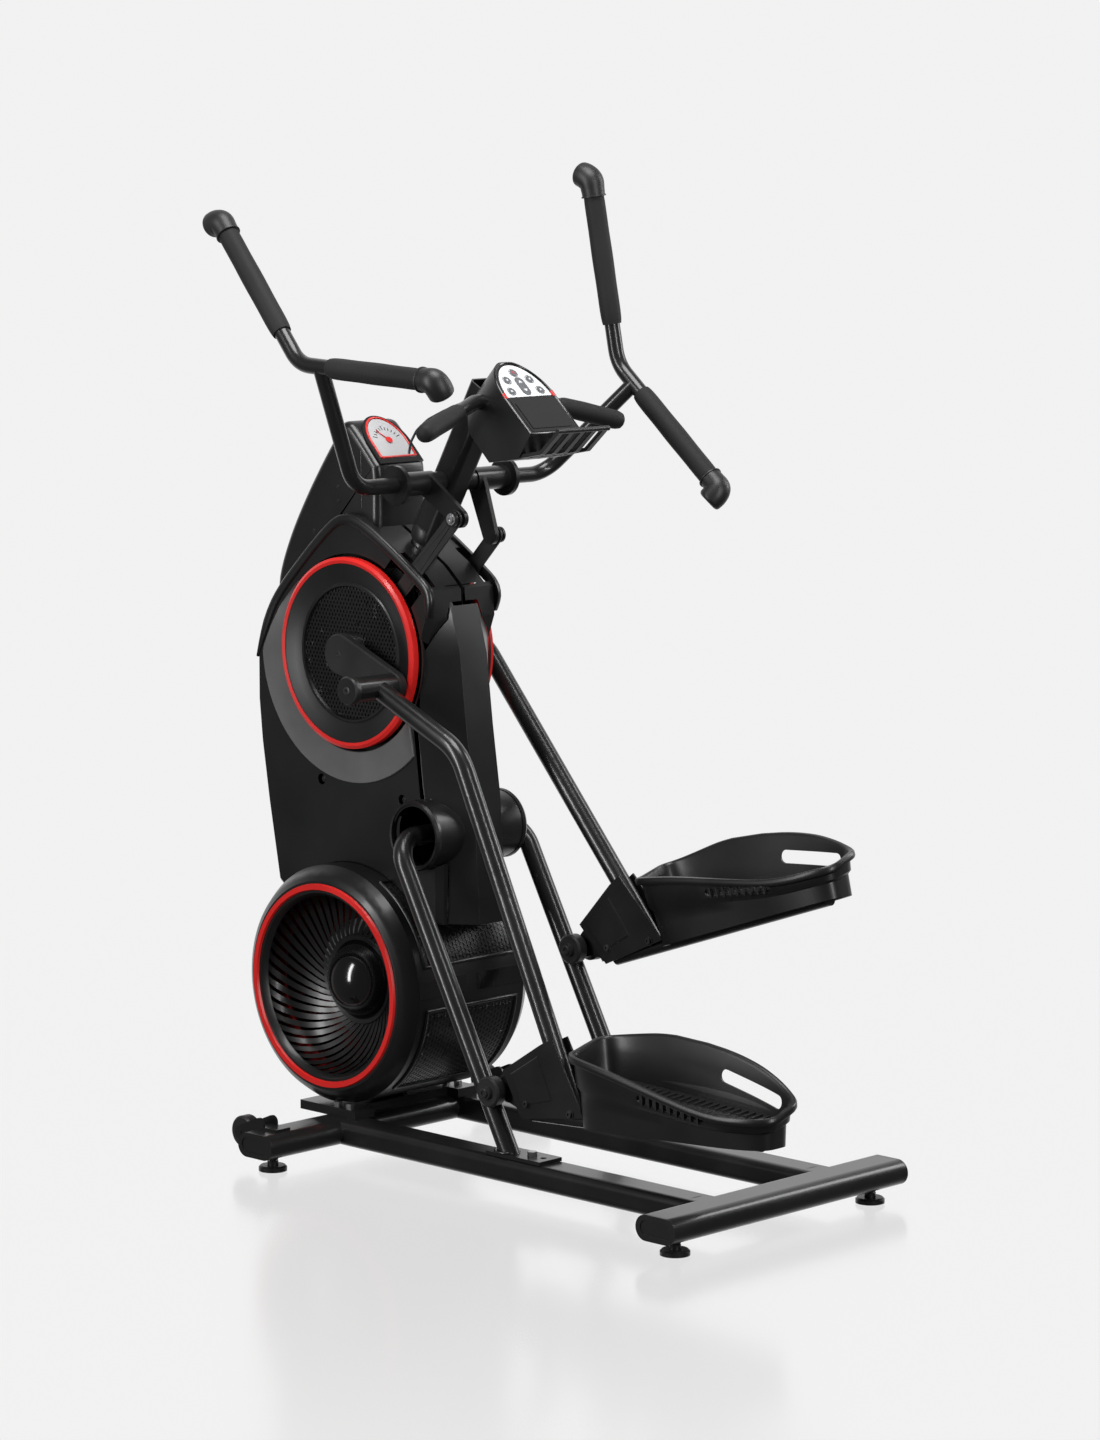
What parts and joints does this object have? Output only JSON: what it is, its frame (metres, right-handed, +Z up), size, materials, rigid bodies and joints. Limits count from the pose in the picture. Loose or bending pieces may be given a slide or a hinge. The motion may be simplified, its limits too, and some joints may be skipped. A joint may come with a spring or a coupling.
{
  "type": "elliptical trainer",
  "caption": "Upright elliptical trainer with a crank tower, fan drum, two sloping roller tracks, foot trays on bent legs and two swinging arms with forked grips.",
  "frame": {"origin": "on the floor, under the middle of the machine's overall box", "axes": "+X to the rider's right, +Y forward towards the fan, the way the rider faces, +Z up"},
  "size_m": [0.64, 1.2244, 1.6048],
  "materials": {
    "frame_metal": "charcoal metallic paint, satin gloss",
    "cover_plastic": "black, satin gloss",
    "tray_plastic": "black, finely grained",
    "red_plastic": "bright red, satin gloss",
    "grip_foam": "matte black foam",
    "wheel_rubber": "black rubber",
    "roller_nylon": "black nylon",
    "link_steel": "black paint, satin",
    "bright_steel": "zinc plated",
    "cast_aluminium": "as cast",
    "panel_white": "white printed overlay",
    "key_grey": "dark grey keys"
  },
  "bodies": {
    "root": {"rear_stabilizer": "frame_metal", "front_stabilizer": "frame_metal", "stabilizer_end_caps": "tray_plastic", "levelling_feet": "tray_plastic", "base_rails": "frame_metal", "wheel_brackets": "frame_metal", "incline_tubes": "frame_metal", "inner_frame": "frame_metal", "bearings": "bright_steel", "base_fasteners": "bright_steel", "drive_belt": "wheel_rubber", "fan_housing": "cover_plastic", "fan_grilles": "cover_plastic", "fan_rings": "red_plastic", "left_side_cover": "cover_plastic", "right_side_cover": "cover_plastic", "top_cover": "cover_plastic", "rear_cover": "cover_plastic", "gauge_panel": "panel_white", "mast_sleeve": "frame_metal", "pivot_shaft": "bright_steel", "console_housing": "cover_plastic", "console_display": "cover_plastic", "console_keypad": "panel_white", "book_tray": "tray_plastic", "static_handlebar": "frame_metal", "static_grips": "grip_foam", "sensor_cable": "wheel_rubber"},
    "left_carriage": {"left_roller_axle": "bright_steel"},
    "right_carriage": {"right_roller_axle": "bright_steel"},
    "left_roller": {"left_rollers": "roller_nylon"},
    "right_roller": {"right_rollers": "roller_nylon"},
    "left_leg": {"left_leg": "frame_metal", "left_pedal": "tray_plastic"},
    "right_leg": {"right_leg": "frame_metal", "right_pedal": "tray_plastic"},
    "crank": {"crankshaft": "bright_steel", "crank_pulley": "cast_aluminium", "crank_arms": "link_steel", "crank_discs": "cover_plastic", "crank_rings": "red_plastic"},
    "fan": {"fan_shaft": "bright_steel", "fan_impeller": "cover_plastic", "fan_pulley": "cast_aluminium", "brake_disc": "cast_aluminium"},
    "idler": {"idler_pulley": "roller_nylon"},
    "left_arm": {"left_arm": "frame_metal", "left_arm_grips": "grip_foam"},
    "right_arm": {"right_arm": "frame_metal", "right_arm_grips": "grip_foam"},
    "left_link": {"left_link": "link_steel"},
    "right_link": {"right_link": "link_steel"},
    "left_transport_wheel": {"left_transport_wheel": "wheel_rubber"},
    "right_transport_wheel": {"right_transport_wheel": "wheel_rubber"},
    "console_key_1": {"console_key_1": "key_grey"},
    "console_key_2": {"console_key_2": "key_grey"},
    "console_key_3": {"console_key_3": "key_grey"},
    "console_key_4": {"console_key_4": "key_grey"},
    "console_key_5": {"console_key_5": "key_grey"},
    "level_key": {"level_key": "key_grey"}
  },
  "joints": [
    {"name": "left_pedal_travel", "type": "slide", "parent": "root", "child": "left_carriage", "axis": [0, 0.4787, 0.878], "range_m": [0, 0.20053]},
    {"name": "right_pedal_travel", "type": "slide", "parent": "root", "child": "right_carriage", "axis": [0, 0.4787, 0.878], "range_m": [-0.20073, 0]},
    {"name": "left_leg_tilt", "type": "hinge", "parent": "left_carriage", "child": "left_leg", "pos_m": [-0.142, -0.02607, 0.16961], "axis": [1, 0, 0], "range_deg": [-15.34, 0]},
    {"name": "right_leg_tilt", "type": "hinge", "parent": "right_carriage", "child": "right_leg", "pos_m": [0.142, 0.06992, 0.34567], "axis": [1, 0, 0], "range_deg": [0, 15.34]},
    {"name": "left_roller_spin", "type": "hinge", "parent": "left_carriage", "child": "left_roller", "pos_m": [-0.142, -0.02607, 0.16961], "axis": [1, 0, 0], "continuous": true},
    {"name": "right_roller_spin", "type": "hinge", "parent": "right_carriage", "child": "right_roller", "pos_m": [0.142, 0.06992, 0.34567], "axis": [1, 0, 0], "continuous": true},
    {"name": "crank_spin", "type": "hinge", "parent": "root", "child": "crank", "pos_m": [0, 0.3777, 0.82], "axis": [1, 0, 0], "continuous": true},
    {"name": "fan_spin", "type": "hinge", "parent": "root", "child": "fan", "pos_m": [0, 0.3782, 0.279], "axis": [1, 0, 0], "continuous": true},
    {"name": "idler_spin", "type": "hinge", "parent": "root", "child": "idler", "pos_m": [0.028, 0.4272, 0.52], "axis": [1, 0, 0], "continuous": true},
    {"name": "left_arm_swing", "type": "hinge", "parent": "root", "child": "left_arm", "pos_m": [-0.082, 0.2272, 1.103], "axis": [1, 0, 0], "range_deg": [0, 37.18]},
    {"name": "right_arm_swing", "type": "hinge", "parent": "root", "child": "right_arm", "pos_m": [0.082, 0.2272, 1.103], "axis": [1, 0, 0], "range_deg": [-37.18, 0]},
    {"name": "left_link_pivot", "type": "hinge", "parent": "left_arm", "child": "left_link", "pos_m": [-0.069, 0.14753, 1.05126], "axis": [1, 0, 0], "range_deg": [-38.52, 0]},
    {"name": "right_link_pivot", "type": "hinge", "parent": "right_arm", "child": "right_link", "pos_m": [0.069, 0.19496, 1.01364], "axis": [1, 0, 0], "range_deg": [0, 38.52]},
    {"name": "left_transport_wheel_spin", "type": "hinge", "parent": "root", "child": "left_transport_wheel", "pos_m": [-0.273, 0.4262, 0.052], "axis": [1, 0, 0], "continuous": true},
    {"name": "right_transport_wheel_spin", "type": "hinge", "parent": "root", "child": "right_transport_wheel", "pos_m": [0.273, 0.4262, 0.052], "axis": [1, 0, 0], "continuous": true},
    {"name": "console_key_1_press", "type": "slide", "parent": "root", "child": "console_key_1", "axis": [0, 0.6811, -0.7322], "range_m": [0, 0.001], "stiffness_N_per_m": 700},
    {"name": "console_key_2_press", "type": "slide", "parent": "root", "child": "console_key_2", "axis": [0, 0.6811, -0.7322], "range_m": [0, 0.001], "stiffness_N_per_m": 700},
    {"name": "console_key_3_press", "type": "slide", "parent": "root", "child": "console_key_3", "axis": [0, 0.6811, -0.7322], "range_m": [0, 0.001], "stiffness_N_per_m": 700},
    {"name": "console_key_4_press", "type": "slide", "parent": "root", "child": "console_key_4", "axis": [0, 0.6811, -0.7322], "range_m": [0, 0.001], "stiffness_N_per_m": 700},
    {"name": "console_key_5_press", "type": "slide", "parent": "root", "child": "console_key_5", "axis": [0, 0.6811, -0.7322], "range_m": [0, 0.001], "stiffness_N_per_m": 700},
    {"name": "level_key_press", "type": "slide", "parent": "root", "child": "level_key", "axis": [0, 0.6811, -0.7322], "range_m": [0, 0.001], "stiffness_N_per_m": 700}
  ],
  "couplings": [
    {"joint": "right_pedal_travel", "follows": "left_pedal_travel", "ratio": -1},
    {"joint": "left_leg_tilt", "follows": "left_pedal_travel", "rad_per_m": -1.3336},
    {"joint": "right_leg_tilt", "follows": "left_pedal_travel", "rad_per_m": 1.3336},
    {"joint": "left_roller_spin", "follows": "left_pedal_travel", "rad_per_m": -62.112},
    {"joint": "right_roller_spin", "follows": "left_pedal_travel", "rad_per_m": 62.112},
    {"joint": "crank_spin", "follows": "left_pedal_travel", "rad_per_m": -15.667},
    {"joint": "fan_spin", "follows": "left_pedal_travel", "rad_per_m": -68.541},
    {"joint": "idler_spin", "follows": "left_pedal_travel", "rad_per_m": -78.333},
    {"joint": "left_arm_swing", "follows": "left_pedal_travel", "rad_per_m": 3.2343},
    {"joint": "right_arm_swing", "follows": "left_pedal_travel", "rad_per_m": -3.2343},
    {"joint": "left_link_pivot", "follows": "left_pedal_travel", "rad_per_m": -3.3511},
    {"joint": "right_link_pivot", "follows": "left_pedal_travel", "rad_per_m": 3.3511}
  ]
}
